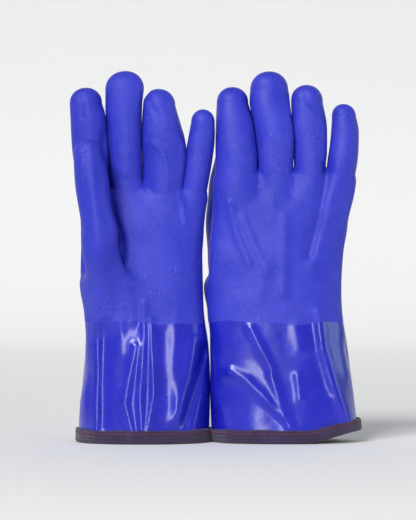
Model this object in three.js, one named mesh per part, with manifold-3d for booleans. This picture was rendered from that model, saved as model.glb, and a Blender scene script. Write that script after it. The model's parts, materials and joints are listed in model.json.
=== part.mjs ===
// A pair of PVC-coated gauntlet gloves for handling cold goods, standing on their cuffs with the
// fingers up. The left glove shows its palm to the front (-Y), the right glove shows its back.
// Millimetres, +Z up, the cuffs' bound hems on z = 0.
import * as THREE from 'three';
import { mergeVertices } from 'three/addons/utils/BufferGeometryUtils.js';
import Module from 'manifold-3d';

const wasm = await Module();
wasm.setup();

// ---- layers of the glove, from the outside in -------------------------------------------------
const clearance = 0.4; // between any two neighbouring solids
const skinWall = 1.4; // PVC coat with the jersey it is dipped on
const liningWall = 2.6; // pile lining
const tapeWall = 0.9; // hem binding tape
const threadSize = 0.7; // binding stitch thread
const liningTop = skinWall + clearance;
const hollow = liningTop + liningWall;

// ---- hand sizes, the same on both gloves ------------------------------------------------------
const gauntletLength = 97; // hem to the line where the frosted hand coat starts
const tapeHeight = 11;
const threadHeight = 8.2;
const fingerGap = 0.8; // between neighbouring finger roots
const fingers = [
  { name: 'index', width: 29, depth: 27, length: 79, middle: 42 },
  { name: 'middle', width: 30, depth: 28, length: 92, middle: 48 },
  { name: 'ring', width: 27, depth: 26, length: 80, middle: 43 },
  { name: 'little', width: 21.5, depth: 21.5, length: 64, middle: 34 },
];
const thumb = { name: 'thumb', width: 26, depth: 26, length: 102, middle: 50 };
const rootTaper = 0.97; // finger width at the middle knuckle, against its root
const tipTaper = 0.86; // finger width where the round tip starts
const palmDepthLow = 50; // front to back at the wrist
const palmDepthMid = 41;
const palmDepthTop = 31; // front to back under the fingers
const thenarWidth = 31; // thumb ball, across
const thenarDepth = 31;
const thumbGap = 3.5; // between the thumb and the palm behind it
const thumbForward = palmDepthMid / 2 + thumbGap + thumb.depth / 2;

// ---- how far each joint has to open -----------------------------------------------------------
const bendSlack = 1.5; // degrees added to each side of a notch
const knuckleNotch = 50 / 2 + bendSlack;
const middleNotch = 65 / 2 + bendSlack;
const thumbNotch = 40 / 2 + bendSlack;
const wristNotch = 20 / 2 + bendSlack / 2;

// ---- shape of each glove on its hand ----------------------------------------------------------
// side is the way the palm faces along Y, and out is the way the glove lies along X from the
// line between the two gloves. Edges are how far the inner side of each level stands from it.
// Rises are how far above the end of the gauntlet a level stands.
const gloves = [
  {
    name: 'left',
    side: -1,
    out: -1,
    order: [3, 2, 1, 0],
    edge: { hem: 0, wrist: 1.6, palm: 3.2, fingers: 0.6 },
    width: { hem: 105, wrist: 97, palm: 101 },
    hemDepth: 73,
    hemRise: 0,
    knuckleRise: 109,
    palmRise: 53,
    lean: { index: -3.6, middle: -1.1, ring: -3.3, little: 6.4, thumb: -15 },
    thumbRoot: { edge: 86, rise: 53 },
  },
  {
    name: 'right',
    side: 1,
    out: 1,
    order: [0, 1, 2, 3],
    edge: { hem: 5.8, wrist: 2.4, palm: 1.2, fingers: 9.9 },
    width: { hem: 117, wrist: 107, palm: 110 },
    hemDepth: 66,
    hemRise: 9,
    knuckleRise: 113,
    palmRise: 63,
    lean: { index: -5.8, middle: -5.7, ring: -5.4, little: 1.6, thumb: 0 },
    thumbRoot: { edge: 14, rise: 46 },
  },
];

// ---- materials --------------------------------------------------------------------------------
const frostedCoat = { color: 0x484fc9, roughness: 0.62, metalness: 0 };
const glossyCoat = { color: 0x3438b4, roughness: 0.22, metalness: 0 };
const pile = { color: 0xd9d4c4, roughness: 0.95, metalness: 0 };
const tape = { color: 0x4d3a4e, roughness: 0.8, metalness: 0 };
const thread = { color: 0x7c2f3c, roughness: 0.7, metalness: 0 };

const pair = new THREE.Group();

function addPiece(group, name, solid, look) {
  const mesh = new THREE.Mesh(toGeometry(solid), new THREE.MeshStandardMaterial(look));
  mesh.name = name;
  group.add(mesh);
}

// ---- closed meshes to solids and back ---------------------------------------------------------
function toSolid(geometry) {
  geometry.deleteAttribute('normal');
  geometry.deleteAttribute('uv');
  const merged = mergeVertices(geometry, 1e-4);
  const vertProperties = new Float32Array(merged.attributes.position.array);
  const triVerts = new Uint32Array(merged.index.array);
  return new wasm.Manifold(new wasm.Mesh({ numProp: 3, vertProperties, triVerts }));
}

function toGeometry(solid) {
  const mesh = solid.getMesh();
  const geometry = new THREE.BufferGeometry();
  geometry.setAttribute('position', new THREE.BufferAttribute(mesh.vertProperties, 3));
  geometry.setIndex(new THREE.BufferAttribute(mesh.triVerts, 1));
  geometry.computeVertexNormals();
  return geometry;
}

// ---- stacks of ovals --------------------------------------------------------------------------
// An oval is a level of a limb: centre x and y, height z, half width and half depth.
const ovalSides = 24;
const squareness = 2.35; // 2 is an ellipse, more is squarer

function ovalPoints(oval) {
  const points = [];
  for (let i = 0; i < ovalSides; i += 1) {
    const turn = (2 * Math.PI * (i + 0.5)) / ovalSides;
    const across = Math.sign(Math.cos(turn)) * Math.abs(Math.cos(turn)) ** (2 / squareness);
    const along = Math.sign(Math.sin(turn)) * Math.abs(Math.sin(turn)) ** (2 / squareness);
    points.push([oval.x + oval.halfWidth * across, oval.y + oval.halfDepth * along, oval.z]);
  }
  return points;
}

function shrink(oval, inset) {
  return { ...oval, halfWidth: oval.halfWidth - inset, halfDepth: oval.halfDepth - inset };
}

/** The same stack with a straight piece added at each end, for use as a cutter. */
function withOverrun(ovals, overrun) {
  if (overrun === 0) {
    return ovals;
  }
  const first = ovals[0];
  const last = ovals[ovals.length - 1];
  return [{ ...first, z: first.z - overrun }, ...ovals, { ...last, z: last.z + overrun }];
}

/** Joins each oval to the next with a band of triangles, and the last to the first if it loops. */
function joinOvals(ovals, loops) {
  const points = ovals.flatMap(ovalPoints);
  const index = [];
  const bands = loops ? ovals.length : ovals.length - 1;
  for (let band = 0; band < bands; band += 1) {
    const low = band * ovalSides;
    const high = ((band + 1) % ovals.length) * ovalSides;
    for (let i = 0; i < ovalSides; i += 1) {
      const next = (i + 1) % ovalSides;
      index.push(low + i, low + next, high + next, low + i, high + next, high + i);
    }
  }
  return { points, index };
}

function toMesh(points, index) {
  const geometry = new THREE.BufferGeometry();
  geometry.setAttribute('position', new THREE.Float32BufferAttribute(points.flat(), 3));
  geometry.setIndex(index);
  return geometry;
}

/** A solid limb: the ovals from the bottom up, closed by a flat cap at each end. */
function limb(ovals) {
  const { points, index } = joinOvals(ovals, false);
  const top = (ovals.length - 1) * ovalSides;
  for (let i = 1; i < ovalSides - 1; i += 1) {
    index.push(0, i + 1, i, top, top + i, top + i + 1);
  }
  return toSolid(toMesh(points, index));
}

/** A ring of any section: the ovals go once round the section, up its outside and down its inside. */
function band(ovals) {
  const { points, index } = joinOvals(ovals, true);
  return toSolid(toMesh(points, index));
}

// ---- fingers ----------------------------------------------------------------------------------
const fingerSides = 12;
const tipSteps = 3;

function fingerRadius(finger, height) {
  const root = finger.width / 2;
  const tipStart = finger.length - tipTaper * root;
  if (height < finger.middle) {
    return root * THREE.MathUtils.lerp(1, rootTaper, height / finger.middle);
  }
  return root * THREE.MathUtils.lerp(rootTaper, tipTaper, (height - finger.middle) / (tipStart - finger.middle));
}

/** Turns a profile of radius and height about the finger's line, flattens it and leans it over. */
function turned(profile, finger, lean) {
  const geometry = new THREE.LatheGeometry(profile, fingerSides);
  geometry.rotateX(Math.PI / 2);
  geometry.scale(1, finger.depth / finger.width, 1);
  const shear = new THREE.Matrix4().makeShear(0, 0, 0, 0, 0, 0);
  shear.elements[8] = lean / finger.length;
  return toSolid(geometry.applyMatrix4(shear));
}

/** The finger's lower half, as a solid. overrun carries it past both ends, for use as a cutter. */
function fingerBase(finger, lean, inset, overrun) {
  const low = clearance / 2;
  const high = finger.middle - clearance / 2;
  const lowRadius = fingerRadius(finger, low) - inset;
  const highRadius = fingerRadius(finger, high) - inset;
  const profile = [new THREE.Vector2(lowRadius, low), new THREE.Vector2(highRadius, high)];
  if (overrun > 0) {
    profile.unshift(new THREE.Vector2(lowRadius, low - overrun));
    profile.push(new THREE.Vector2(highRadius, high + overrun));
  }
  profile.unshift(new THREE.Vector2(0, low - overrun));
  profile.push(new THREE.Vector2(0, high + overrun));
  return turned(profile, finger, lean);
}

/** The finger's upper half with its round tip. */
function fingerTip(finger, lean, inset, overrun) {
  const low = finger.middle + clearance / 2;
  const capRadius = (tipTaper * finger.width) / 2;
  const capStart = finger.length - capRadius;
  const lowRadius = fingerRadius(finger, low) - inset;
  const profile = [new THREE.Vector2(0, low - overrun), new THREE.Vector2(lowRadius, low)];
  if (overrun > 0) {
    profile.splice(1, 0, new THREE.Vector2(lowRadius, low - overrun));
  }
  for (let i = 0; i < tipSteps; i += 1) {
    const turn = (Math.PI / 2) * (i / tipSteps);
    const reach = capRadius - inset;
    profile.push(new THREE.Vector2(reach * Math.cos(turn), capStart + reach * Math.sin(turn)));
  }
  profile.push(new THREE.Vector2(0, capStart + capRadius - inset));
  return turned(profile, finger, lean);
}

// ---- notches that let a joint close -----------------------------------------------------------
const notchReach = 60;

/** A wedge across the glove, its edge on the joint's axis and its mouth towards the bend. */
function notch(pivot, towards, degrees, width) {
  const rise = notchReach * Math.tan(THREE.MathUtils.degToRad(degrees));
  const outline = new THREE.Shape();
  outline.moveTo(-clearance, 0);
  outline.lineTo(notchReach, -rise);
  outline.lineTo(notchReach, rise);
  const wedge = new THREE.ExtrudeGeometry(outline, { depth: width, bevelEnabled: false });
  wedge.translate(0, 0, -width / 2);
  const up = new THREE.Vector3(0, 0, 1);
  const across = new THREE.Vector3().crossVectors(towards, up);
  wedge.applyMatrix4(new THREE.Matrix4().makeBasis(towards, up, across));
  wedge.translate(pivot.x, pivot.y, pivot.z);
  return toSolid(wedge);
}

// ---- one glove --------------------------------------------------------------------------------
function buildGlove(glove) {
  const group = new THREE.Group();
  const palmwards = new THREE.Vector3(0, glove.side, 0);
  const backwards = new THREE.Vector3(0, -glove.side, 0);
  const inwards = new THREE.Vector3(1, 0, 0);
  const wristHeight = gauntletLength;
  const knuckleHeight = wristHeight + glove.knuckleRise;

  const level = (z, edge, width, depth) => ({
    x: glove.out * (edge + width / 2),
    y: 0,
    z,
    halfWidth: width / 2,
    halfDepth: depth / 2,
  });

  // places of the finger roots, side by side from the line between the gloves outwards
  const roots = {};
  let edge = glove.edge.fingers;
  glove.order.forEach((which) => {
    const finger = fingers[which];
    roots[finger.name] = new THREE.Vector3(glove.out * (edge + finger.width / 2), 0, knuckleHeight);
    edge += finger.width + fingerGap;
  });
  const fingersWidth = edge - fingerGap - glove.edge.fingers;
  const thumbRoot = new THREE.Vector3(
    glove.out * glove.thumbRoot.edge,
    glove.side * thumbForward,
    wristHeight + glove.thumbRoot.rise,
  );

  const wrist = level(wristHeight, glove.edge.wrist, glove.width.wrist, palmDepthLow);
  const palmMiddle = level(wristHeight + glove.palmRise, glove.edge.palm, glove.width.palm, palmDepthMid);
  const palmTop = level(knuckleHeight, glove.edge.fingers, fingersWidth, palmDepthTop);
  const hem = level(0, glove.edge.hem, glove.width.hem, glove.hemDepth);

  const wristPivot = new THREE.Vector3(wrist.x, 0, wristHeight);
  const wristNotches = notch(wristPivot, palmwards, wristNotch, 2 * glove.width.hem).add(
    notch(wristPivot, backwards, wristNotch, 2 * glove.width.hem),
  );

  // palm: a flattened limb with the thumb ball growing out of its front, open at every end
  function palmSolid(inset, overrun) {
    const low = { ...wrist, z: wristHeight + clearance / 2 };
    const high = { ...palmTop, z: knuckleHeight - clearance / 2 };
    const bodyLevels = withOverrun([low, palmMiddle, high], overrun);
    const body = limb(bodyLevels.map((oval) => shrink(oval, inset)));
    const root = {
      x: thumbRoot.x,
      y: thumbRoot.y,
      z: thumbRoot.z - clearance / 2,
      halfWidth: thumb.width / 2,
      halfDepth: thumb.depth / 2,
    };
    const ball = {
      x: THREE.MathUtils.lerp(root.x, palmMiddle.x, 0.3),
      y: glove.side * 6,
      z: wristHeight + thenarDepth / 2,
      halfWidth: thenarWidth / 2,
      halfDepth: thenarDepth / 2,
    };
    const above = { ...root, z: root.z + overrun };
    const ballLevels = overrun > 0 ? [ball, root, above] : [ball, root];
    return body.add(limb(ballLevels.map((oval) => shrink(oval, inset))));
  }

  const knucklePivot = new THREE.Vector3(palmTop.x, 0, knuckleHeight);
  const palmCuts = notch(knucklePivot, palmwards, knuckleNotch, 2 * fingersWidth)
    .add(wristNotches)
    .add(notch(thumbRoot, palmwards, thumbNotch, thumb.width + 4));

  function palmLayer(outerInset, innerInset) {
    return palmSolid(outerInset, 0).subtract(palmSolid(innerInset, 20)).subtract(palmCuts);
  }

  addPiece(group, `${glove.name}_palm`, palmLayer(0, skinWall), frostedCoat);
  addPiece(group, `${glove.name}_palm_lining`, palmLayer(liningTop, hollow), pile);

  // fingers and thumb: each has a lower and an upper half, and a lining in each
  const digits = fingers.map((finger) => ({
    finger,
    root: roots[finger.name],
    rootBend: palmwards,
    rootNotch: knuckleNotch,
    tipBend: palmwards,
    tipNotch: middleNotch,
  }));
  digits.push({
    finger: thumb,
    root: thumbRoot,
    rootBend: palmwards,
    rootNotch: thumbNotch,
    tipBend: inwards,
    tipNotch: thumbNotch,
  });
  digits.forEach(({ finger, root, rootBend, rootNotch, tipBend, tipNotch }) => {
    const lean = glove.lean[finger.name];
    const rootCut = notch(root, rootBend, rootNotch, 2 * finger.width);
    const middle = new THREE.Vector3(root.x + (lean * finger.middle) / finger.length, root.y, root.z + finger.middle);
    const middleCut = notch(middle, tipBend, tipNotch, 2 * finger.width);
    const layers = [
      { suffix: '', outer: 0, inner: skinWall, look: frostedCoat },
      { suffix: '_lining', outer: liningTop, inner: hollow, look: pile },
    ];
    layers.forEach(({ suffix, outer, inner, look }) => {
      const lower = fingerBase(finger, lean, outer, 0)
        .subtract(fingerBase(finger, lean, inner, 5))
        .translate([root.x, root.y, root.z])
        .subtract(rootCut)
        .subtract(middleCut);
      const upper = fingerTip(finger, lean, outer, 0)
        .subtract(fingerTip(finger, lean, inner, 5))
        .translate([root.x, root.y, root.z])
        .subtract(middleCut);
      addPiece(group, `${glove.name}_${finger.name}_base${suffix}`, lower, look);
      addPiece(group, `${glove.name}_${finger.name}_tip${suffix}`, upper, look);
    });
  });

  // gauntlet: the glossy cuff, its lining, and the tape that binds both at the hem
  const liftFrom = hem.x + glove.out * 0.1 * glove.width.hem;
  const liftTo = hem.x + glove.out * 0.5 * glove.width.hem;
  function liftHem(solid) {
    return solid.warp((vertex) => {
      const way = THREE.MathUtils.smoothstep(glove.out * vertex[0], glove.out * liftFrom, glove.out * liftTo);
      vertex[2] += glove.hemRise * way * Math.max(0, 1 - vertex[2] / gauntletLength);
    });
  }
  function cuffOval(z, inset) {
    const way = z / gauntletLength;
    return shrink(
      {
        x: THREE.MathUtils.lerp(hem.x, wrist.x, way),
        y: 0,
        z,
        halfWidth: THREE.MathUtils.lerp(hem.halfWidth, wrist.halfWidth, way),
        halfDepth: THREE.MathUtils.lerp(hem.halfDepth, wrist.halfDepth, way),
      },
      inset,
    );
  }
  const cuffLow = tapeWall + clearance;
  const cuffHigh = gauntletLength - clearance / 2;
  const cuffSteps = 4;
  const cuffBetween = [1, 2, 3].map((step) => (step * gauntletLength) / cuffSteps);
  const cuffLevels = [cuffLow, ...cuffBetween, cuffHigh];
  function cuffLayer(outerInset, innerInset) {
    const upOutside = cuffLevels.map((z) => cuffOval(z, outerInset));
    const downInside = cuffLevels.map((z) => cuffOval(z, innerInset)).reverse();
    return liftHem(band([...upOutside, ...downInside])).subtract(wristNotches);
  }
  addPiece(group, `${glove.name}_gauntlet`, cuffLayer(0, skinWall), glossyCoat);
  addPiece(group, `${glove.name}_cuff_lining`, cuffLayer(liningTop, hollow), pile);

  const tapeOutside = -clearance - tapeWall;
  const tapeInside = hollow + clearance + tapeWall;
  const bindingSection = [
    cuffOval(0, tapeOutside),
    cuffOval(tapeHeight, tapeOutside),
    cuffOval(tapeHeight, -clearance),
    cuffOval(tapeWall, -clearance),
    cuffOval(tapeWall, hollow + clearance),
    cuffOval(tapeHeight, hollow + clearance),
    cuffOval(tapeHeight, tapeInside),
    cuffOval(0, tapeInside),
  ];
  addPiece(group, `${glove.name}_hem_binding`, liftHem(band(bindingSection)), tape);

  const threadInside = tapeOutside - clearance;
  const threadSection = [
    cuffOval(threadHeight, threadInside - threadSize),
    cuffOval(threadHeight + threadSize, threadInside - threadSize),
    cuffOval(threadHeight + threadSize, threadInside),
    cuffOval(threadHeight, threadInside),
  ];
  addPiece(group, `${glove.name}_binding_thread`, liftHem(band(threadSection)), thread);
  return group;
}

gloves.forEach((glove) => pair.add(buildGlove(glove)));

// the origin lies under the middle of the pair
const middle = new THREE.Box3().setFromObject(pair).getCenter(new THREE.Vector3());
pair.position.set(-middle.x, -middle.y, 0);

export default pair;
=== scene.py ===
import json
import math

import bmesh
import bpy
import numpy as np
import openvdb
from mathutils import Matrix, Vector


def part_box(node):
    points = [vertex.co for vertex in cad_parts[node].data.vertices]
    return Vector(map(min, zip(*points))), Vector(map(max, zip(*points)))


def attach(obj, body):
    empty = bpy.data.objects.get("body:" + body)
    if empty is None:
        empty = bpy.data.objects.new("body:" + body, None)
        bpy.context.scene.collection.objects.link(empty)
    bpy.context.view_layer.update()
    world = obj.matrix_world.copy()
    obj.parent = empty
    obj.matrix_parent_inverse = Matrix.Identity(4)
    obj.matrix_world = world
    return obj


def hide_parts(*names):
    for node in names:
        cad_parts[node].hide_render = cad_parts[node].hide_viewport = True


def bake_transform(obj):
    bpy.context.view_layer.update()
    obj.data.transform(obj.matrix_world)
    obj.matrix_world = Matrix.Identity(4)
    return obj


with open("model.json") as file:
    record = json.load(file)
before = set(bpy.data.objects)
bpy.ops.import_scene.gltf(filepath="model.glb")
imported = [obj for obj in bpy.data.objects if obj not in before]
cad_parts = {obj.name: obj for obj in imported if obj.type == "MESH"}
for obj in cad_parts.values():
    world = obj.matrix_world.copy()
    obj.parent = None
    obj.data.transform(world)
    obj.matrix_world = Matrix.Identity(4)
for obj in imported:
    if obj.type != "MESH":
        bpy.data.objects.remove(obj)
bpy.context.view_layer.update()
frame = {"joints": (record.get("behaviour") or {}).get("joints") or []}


# ---- The hand former -------------------------------------------------------------------------
# Each glove is dipped on a porcelain hand: a flattened limb from the cuff to the knuckles, four
# fingers and a thumb. The former is a distance field, built from the places of the CAD joints.
# Shapes are worked out in millimetres, and each mesh is scaled to metres when it is made.
MM = 0.001
JOINTS = {j["name"]: np.array(j.get("pos_m", (0, 0, 0))) / MM for j in frame["joints"]}


def node_box(node):
    low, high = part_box(node)
    return np.array(low) / MM, np.array(high) / MM


def follow(z, table):
    """Smooth values at height z through a table of levels: the first column is the height."""
    table = np.asarray(table, float)
    heights, values = table[:, 0], table[:, 1:]
    slopes = np.gradient(values, heights, axis=0)
    z = np.clip(z, heights[0], heights[-1])
    low = np.clip(np.searchsorted(heights, z) - 1, 0, len(heights) - 2)
    span = heights[low + 1] - heights[low]
    t = (z - heights[low]) / span
    a = (1 + 2 * t) * (1 - t) ** 2
    b = t * (1 - t) ** 2 * span
    c = t * t * (3 - 2 * t)
    d = t * t * (t - 1) * span
    return [
        a * values[low, k] + b * slopes[low, k] + c * values[low + 1, k] + d * slopes[low + 1, k]
        for k in range(values.shape[1])
    ]


def limb(x, y, z, levels, top_cap, bottom_cap, squareness=2.2):
    """Distance to a limb through levels of (height, centre x, centre y, half width, half depth)."""
    heights = [level[0] for level in levels]
    cx, cy, half_width, half_depth = follow(z, levels)
    past_top = np.maximum(z - heights[-1], 0) / top_cap
    past_bottom = np.maximum(heights[0] - z, 0) / bottom_cap
    across = np.abs((x - cx) / half_width) ** squareness
    along = np.abs((y - cy) / half_depth) ** squareness
    ends = (past_top + past_bottom) ** squareness
    reach = (across + along + ends) ** (1 / squareness)
    return (reach - 1) * np.minimum(half_width, half_depth)


def blended(a, b, radius):
    """The union of two distances, with a fillet of about the given radius."""
    h = np.clip(0.5 + 0.5 * (b - a) / radius, 0, 1)
    return b + (a - b) * h - radius * h * (1 - h)


def carved(a, b, radius):
    """Distance a with the shape of distance b cut out of it, its edge rounded."""
    return -blended(-a, b, radius)


def smooth(low, high, value):
    t = np.clip((value - low) / (high - low), 0, 1)
    return t * t * (3 - 2 * t)


# Where each finger's two sides run, from inside the hand up: height, left edge, right edge,
# measured from the line between the gloves. Worn fingers lie against each other, so the edges
# nearly meet.
LITTLE_TO_LINE = 11.35  # from the left little knuckle to the line between the gloves
BETWEEN = JOINTS["left_little_knuckle"][0] + LITTLE_TO_LINE
FINGER_EDGES = {
    "left": {
        "index": [
            (172, -98.0, -76.0),
            (206, -104.2, -78.9),
            (232, -109.4, -79.2),
            (248, -110.6, -80.7),
            (264, -111.2, -82.6),
            (273, -111.6, -86.8),
        ],
        "middle": [
            (172, -73.0, -50.0),
            (206, -76.4, -52.5),
            (232, -78.5, -53.1),
            (248, -80.0, -53.4),
            (264, -81.6, -53.2),
            (284, -81.2, -53.2),
        ],
        "ring": [
            (172, -50.0, -26.0),
            (206, -51.6, -20.6),
            (232, -52.3, -17.6),
            (240, -52.5, -18.6),
            (256, -52.5, -23.2),
            (271, -51.4, -27.6),
        ],
        "little": [
            (172, -25.0, -8.0),
            (206, -20.0, -0.4),
            (232, -16.9, 4.0),
            (240, -15.6, 5.0),
            (248, -14.2, 5.4),
            (258, -12.4, 5.2),
        ],
    },
    "right": {
        "index": [
            (178, 10.0, 36.0),
            (212, 5.9, 40.4),
            (221, 6.1, 40.4),
            (241, 6.2, 39.5),
            (258, 6.5, 37.0),
            (274, 7.2, 31.4),
        ],
        "middle": [
            (178, 41.0, 65.0),
            (212, 41.2, 69.6),
            (221, 41.0, 69.8),
            (241, 40.1, 69.9),
            (258, 37.6, 68.2),
            (274, 35.2, 66.4),
            (285, 35.8, 63.6),
        ],
        "ring": [
            (178, 68.0, 88.0),
            (212, 70.8, 95.3),
            (221, 70.6, 95.6),
            (241, 70.5, 95.6),
            (258, 69.0, 94.8),
            (275, 68.4, 91.6),
        ],
        "little": [
            (178, 91.0, 108.5),
            (212, 96.6, 118.2),
            (225, 97.8, 120.7),
            (241, 100.2, 122.0),
            (254, 101.4, 121.8),
            (263, 101.9, 120.0),
        ],
    },
}
FINGERS = ["index", "middle", "ring", "little"]
CONTACT_GAP = 0.1  # left between two fingers that lie against each other
CONTACT_BULGE = 1.3  # how far one of the two bulges into the other
CONTACT_DEPTH = 5  # how deep that bulge is, front to back
CONTACT_ROUNDING = 1.3  # the rounding of the edges of the contact
FULLER = 1.4  # how far a finger swells over its edge where it meets the next one
OUTER_SWELL = 0.2  # the same on the outer sides of the index and little fingers
TIP_CAPS = {"index": 13.0, "middle": 15.0, "ring": 14.0, "little": 10.5}
# How far each finger stands towards the palm at its root and at its tip.
FORWARD = {
    "left": {"index": (-2.0, 3.0), "middle": (0.5, 3.5), "ring": (0.0, 4.0), "little": (0.5, 4.5)},
    "right": {"index": (0.0, 5.0), "middle": (-0.5, 6.0), "ring": (0.0, 6.0), "little": (1.0, 6.5)},
}
SIDE = {"left": -1, "right": 1}  # the way the palm faces, along Y
FINGER_FLATNESS = 0.78  # a finger's depth for its width, before its padding
FINGER_PADDING = 2.4
ROOT_SUNK = 3.0  # how much thinner a finger's root is, inside the hand


def finger_levels(glove, finger):
    edges = FINGER_EDGES[glove][finger]
    bottom, top = edges[1][0], edges[-1][0]
    low_forward, high_forward = FORWARD[glove][finger]
    left_swell = OUTER_SWELL if finger == FINGERS[0] else FULLER
    right_swell = OUTER_SWELL if finger == FINGERS[-1] else FULLER
    levels = []
    for z, left, right in edges:
        left, right = left - left_swell, right + right_swell
        way = max(0, (z - bottom) / (top - bottom))
        y = SIDE[glove] * (low_forward + (high_forward - low_forward) * way**2)
        half = (right - left) / 2
        sunk = ROOT_SUNK if z < bottom else 0
        depth = FINGER_FLATNESS * half + FINGER_PADDING - sunk
        levels.append((z, BETWEEN + (left + right) / 2, y, half, depth))
    return levels


# Where the palm's two edges run, and how deep it is, from the hem to the knuckles: height,
# left edge, right edge, depth. Edges are from the line between the gloves.
PALM_EDGES = {
    "left": [
        (-12, -106.5, 0.6, 75),
        (0, -105.5, 0.6, 73),
        (30, -103.2, 1.6, 67),
        (60, -100.4, 1.5, 60),
        (85, -98.0, -0.4, 54),
        (100, -97.8, -2.8, 50),
        (126, -102.6, -4.0, 44),
        (155, -102.8, -4.6, 40),
        (182, -101.8, -4.4, 34),
        (200, -102.0, -4.0, 24),
    ],
    "right": [
        (-12, 5.6, 124.0, 67),
        (0, 3.8, 122.3, 66),
        (30, 1.9, 118.8, 61),
        (60, 1.8, 115.0, 56),
        (85, 1.5, 111.6, 52),
        (100, 1.6, 109.2, 49),
        (128, 0.4, 108.0, 44),
        (155, 1.4, 109.8, 40),
        (182, 3.6, 112.8, 35),
        (200, 6.6, 116.4, 29),
        (213, 9.0, 115.4, 22),
    ],
}
# The thumb: height, centre x from the line between the gloves, centre y towards the palm side,
# half width and half depth. It grows out of the thumb ball, low on the palm.
THUMB_LEVELS = {
    "left": [
        (106, -75, 9, 15, 13),
        (124, -78, 17, 17, 15),
        (140, -82.4, 27, 16.2, 14.5),
        (154, -85.0, 33, 15.0, 14.2),
        (172, -86.8, 36, 14.4, 13.8),
        (190, -90.0, 36, 13.6, 13.4),
        (214, -92.8, 35, 13.2, 12.6),
        (231, -96.0, 33, 11.8, 11.4),
    ],
    "right": [
        (106, 24, 9, 15, 13),
        (124, 19.5, 17, 16.5, 15),
        (140, 16.0, 27, 15.0, 14.5),
        (154, 13.6, 33.5, 13.8, 13.8),
        (170, 11.6, 36.5, 13.2, 13.2),
        (190, 11.4, 37, 12.7, 12.7),
        (212, 14.0, 37, 12.4, 12.4),
        (233, 17.0, 35, 11.0, 11.2),
    ],
}
THUMB_CAP = 11.5
PALM_SQUARENESS = 2.35  # 2 would be an ellipse; the palm and the cuff are a little squarer


def palm_levels(glove):
    return [
        (z, BETWEEN + (left + right) / 2, 0, (right - left) / 2, depth / 2)
        for z, left, right, depth in PALM_EDGES[glove]
    ]


def thumb_levels(glove):
    return [(z, BETWEEN + x, SIDE[glove] * y, rx, ry) for z, x, y, rx, ry in THUMB_LEVELS[glove]]


def former_parts(glove):
    """The distance to the palm, to each finger and to the thumb, as functions of x, y, z."""
    side = SIDE[glove]
    palm_line = palm_levels(glove)
    thumb_line = thumb_levels(glove)
    finger_lines = {finger: finger_levels(glove, finger) for finger in FINGERS}
    # the valley between the thumb and the rest of the palm runs up to the foot of the index
    valley = [
        (160, BETWEEN - 69, side * 22, 1.6, 5.0),
        (170, BETWEEN - 71, side * 18, 2.4, 9.0),
        (178, BETWEEN - 73.4, side * 16, 2.6, 11.0),
        (191, BETWEEN - 76.0, side * 16, 2.9, 12.0),
        (205, BETWEEN - 77.8, side * 17, 2.8, 11.0),
        (222, BETWEEN - 80.4, side * 17, 2.8, 9.5),
        (238, BETWEEN - 84.0, side * 17, 2.6, 8.0),
    ]

    def beside_thumb(body, x, y, z):
        if glove == "right":
            return body
        return carved(body, limb(x, y, z, valley, 8, 8, 2.0), 5)

    def palm(x, y, z):
        return beside_thumb(limb(x, y, z, palm_line, 7, 60, PALM_SQUARENESS), x, y, z)

    def thumb(x, y, z):
        return limb(x, y, z, thumb_line, THUMB_CAP, 14, 2.1)

    def one_finger(name, x, y, z):
        return limb(x, y, z, finger_lines[name], TIP_CAPS[name], 16, 2.1)

    def pressed(name, x, y, z):
        """A finger with flats where it lies against its neighbours."""
        own = one_finger(name, x, y, z)
        shape = own
        place = FINGERS.index(name)
        for beside in FINGERS[max(0, place - 1) : place] + FINGERS[place + 1 : place + 2]:
            way = 1 if FINGERS.index(beside) > place else -1
            bulge = CONTACT_BULGE * np.exp(-((y / CONTACT_DEPTH) ** 2)) * way
            between = (own - one_finger(beside, x, y, z)) / 2 + CONTACT_GAP / 2 + bulge
            shape = carved(shape, -between, CONTACT_ROUNDING)
        return beside_thumb(shape, x, y, z) if name in ("index", "middle") else shape

    fingers = {name: (lambda x, y, z, f=name: pressed(f, x, y, z)) for name in FINGERS}
    return palm, thumb, fingers


# The heights of the crotches between the fingers, where the hand's skin is cut from the fingers'.
CROTCH_CUT = {"left": 208.5, "right": 222.0}
ROOT_FILLET = 6  # between a finger and the palm, under the crotches
WEB_DROP = 13  # how far below its crotch that fillet fades out
THUMB_FILLET = 16  # between the thumb and the palm, at the ball of the thumb
FILLET_LOSS = 13  # how much of it is lost going up to the thumb's own height
FILLET_HEIGHTS = (126, 150)


def former(glove, only=FINGERS, with_thumb=True):
    """The whole hand as one distance field, or the palm with only some of its fingers."""
    palm, thumb, fingers = former_parts(glove)

    def field(x, y, z):
        distance = palm(x, y, z)
        if with_thumb:
            fillet = THUMB_FILLET - FILLET_LOSS * smooth(*FILLET_HEIGHTS, z)
            distance = blended(distance, thumb(x, y, z), fillet)
        nearest = None
        for finger in only:
            one = fingers[finger](x, y, z)
            nearest = one if nearest is None else np.minimum(nearest, one)
        if nearest is None:
            return distance
        top = CROTCH_CUT[glove] - 1
        web = 0.05 + ROOT_FILLET * (1 - smooth(top - WEB_DROP, top, z))
        return blended(distance, nearest, web)

    return field


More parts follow.
